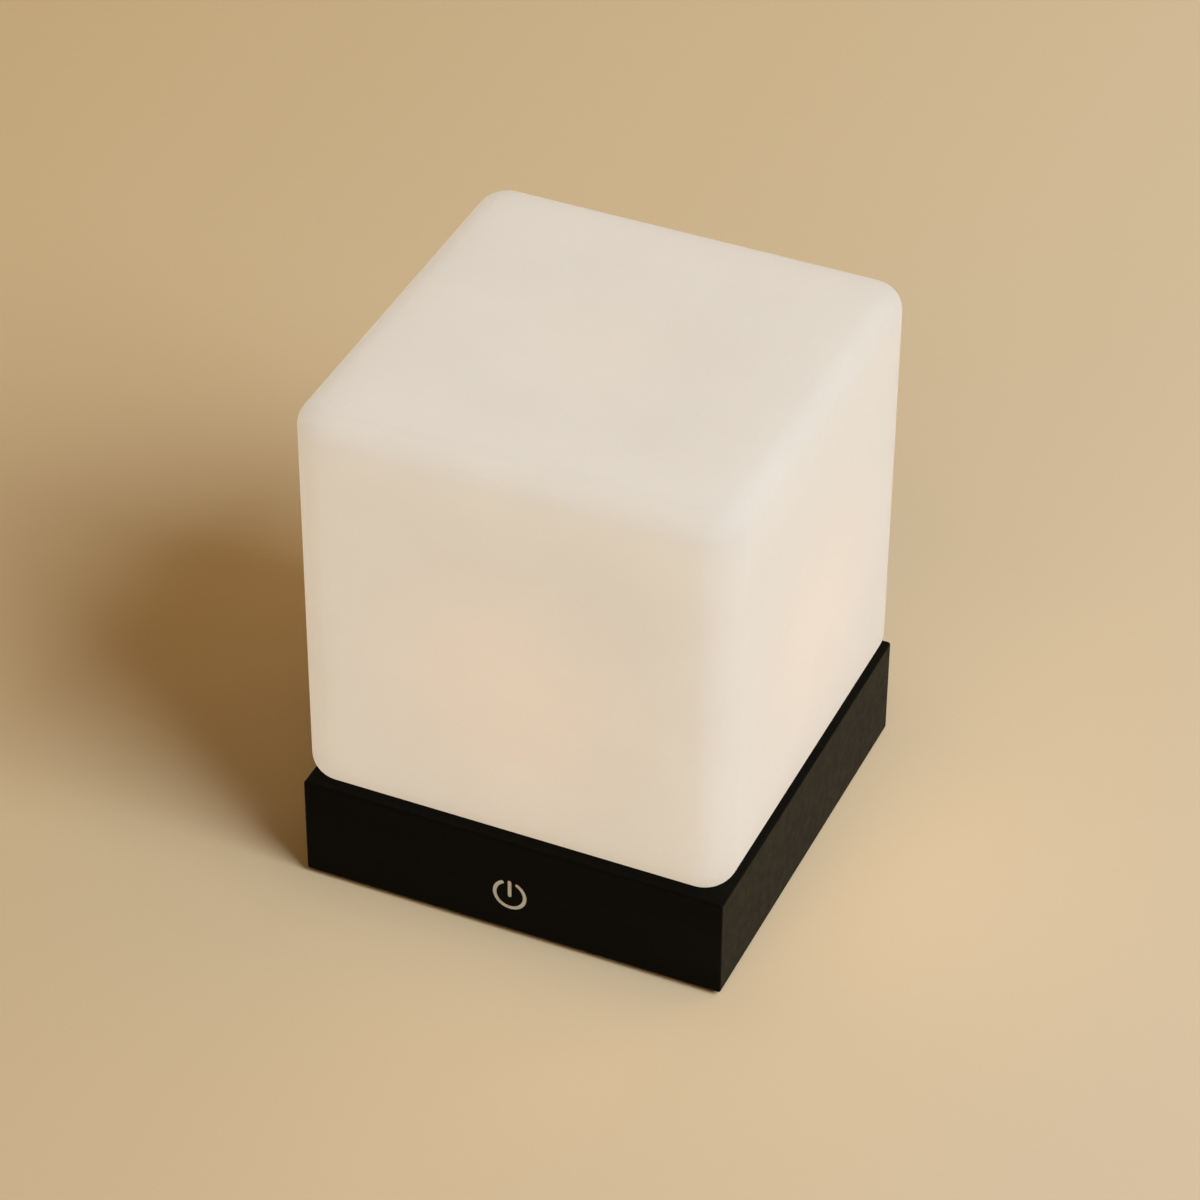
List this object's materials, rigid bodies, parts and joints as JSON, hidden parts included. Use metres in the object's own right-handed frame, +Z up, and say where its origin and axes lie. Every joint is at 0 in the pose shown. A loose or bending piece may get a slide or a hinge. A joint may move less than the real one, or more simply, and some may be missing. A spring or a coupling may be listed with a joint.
{
  "type": "rechargeable table lamp",
  "caption": "Cordless cube lamp: satin opal shade that lifts off a low square black wooden base with a touch symbol, and a charging inlet under a soft flap at the rear.",
  "frame": {"origin": "on the table under the middle of the base, level with the undersides of the feet", "axes": "+Z up, -Y out of the face with the touch symbol, +Y out of the face with the charging inlet"},
  "size_m": [0.1, 0.1, 0.125],
  "materials": {
    "black_wood": "black stain under satin lacquer",
    "symbol_inlay": "pale champagne filling, matte",
    "opal_glass": "satin etched opal, warm white",
    "clear_silicone": "milky soft silicone",
    "white_plastic": "fine moulded texture",
    "bright_steel": "zinc plated",
    "black_steel": "black oxide",
    "white_board": "white solder mask on aluminium",
    "led_body": "white moulding",
    "led_phosphor": "yellow phosphor gel",
    "red_lead": "soft sleeve",
    "black_lead": "soft sleeve",
    "white_lead": "soft sleeve",
    "solder": "bright solder",
    "black_rubber": "matte soft moulding",
    "battery_foil": "laminated foil",
    "green_board": "green solder mask",
    "foam_tape": "foam with adhesive",
    "chip_plastic": "moulded epoxy",
    "ferrite": "pressed ferrite",
    "capacitor_ceramic": "fired body",
    "copper": "bare copper",
    "black_plastic": "fine moulded texture"
  },
  "bodies": {
    "base": {"base_block": "black_wood", "power_symbol": "symbol_inlay", "shade_gasket": "clear_silicone", "led_pedestal": "white_plastic", "grip_band": "clear_silicone", "pedestal_screws": "bright_steel", "led_board": "white_board", "led_chips": "led_body", "led_phosphors": "led_phosphor", "led_board_screws": "bright_steel", "led_wire_positive": "red_lead", "led_wire_negative": "black_lead", "led_solder_joints": "solder", "wire_grommet": "black_rubber", "battery_pack": "battery_foil", "battery_guard_board": "green_board", "battery_tape": "foam_tape", "battery_wire_positive": "red_lead", "battery_wire_negative": "black_lead", "control_board": "green_board", "charge_chip": "chip_plastic", "driver_chip": "chip_plastic", "boost_inductor": "ferrite", "filter_capacitors": "capacitor_ceramic", "board_screws": "bright_steel", "touch_board": "green_board", "touch_electrode": "copper", "touch_tape": "foam_tape", "touch_chip": "chip_plastic", "touch_wires": "white_lead", "usb_socket": "bright_steel", "usb_tongue": "chip_plastic", "port_bezel": "black_plastic", "bottom_cover": "black_plastic", "cover_screws": "black_steel", "rubber_feet": "black_rubber"},
    "shade": {"shade": "opal_glass"},
    "port_flap": {"port_flap": "black_rubber"}
  },
  "joints": [
    {"name": "shade_lift", "type": "slide", "parent": "base", "child": "shade", "axis": [0, 0, 1], "range_m": [0, 0.06]},
    {"name": "port_flap_swing", "type": "hinge", "parent": "base", "child": "port_flap", "pos_m": [0, 0.0493, 0.01603], "axis": [1, 0, 0], "range_deg": [0, 120]}
  ]
}
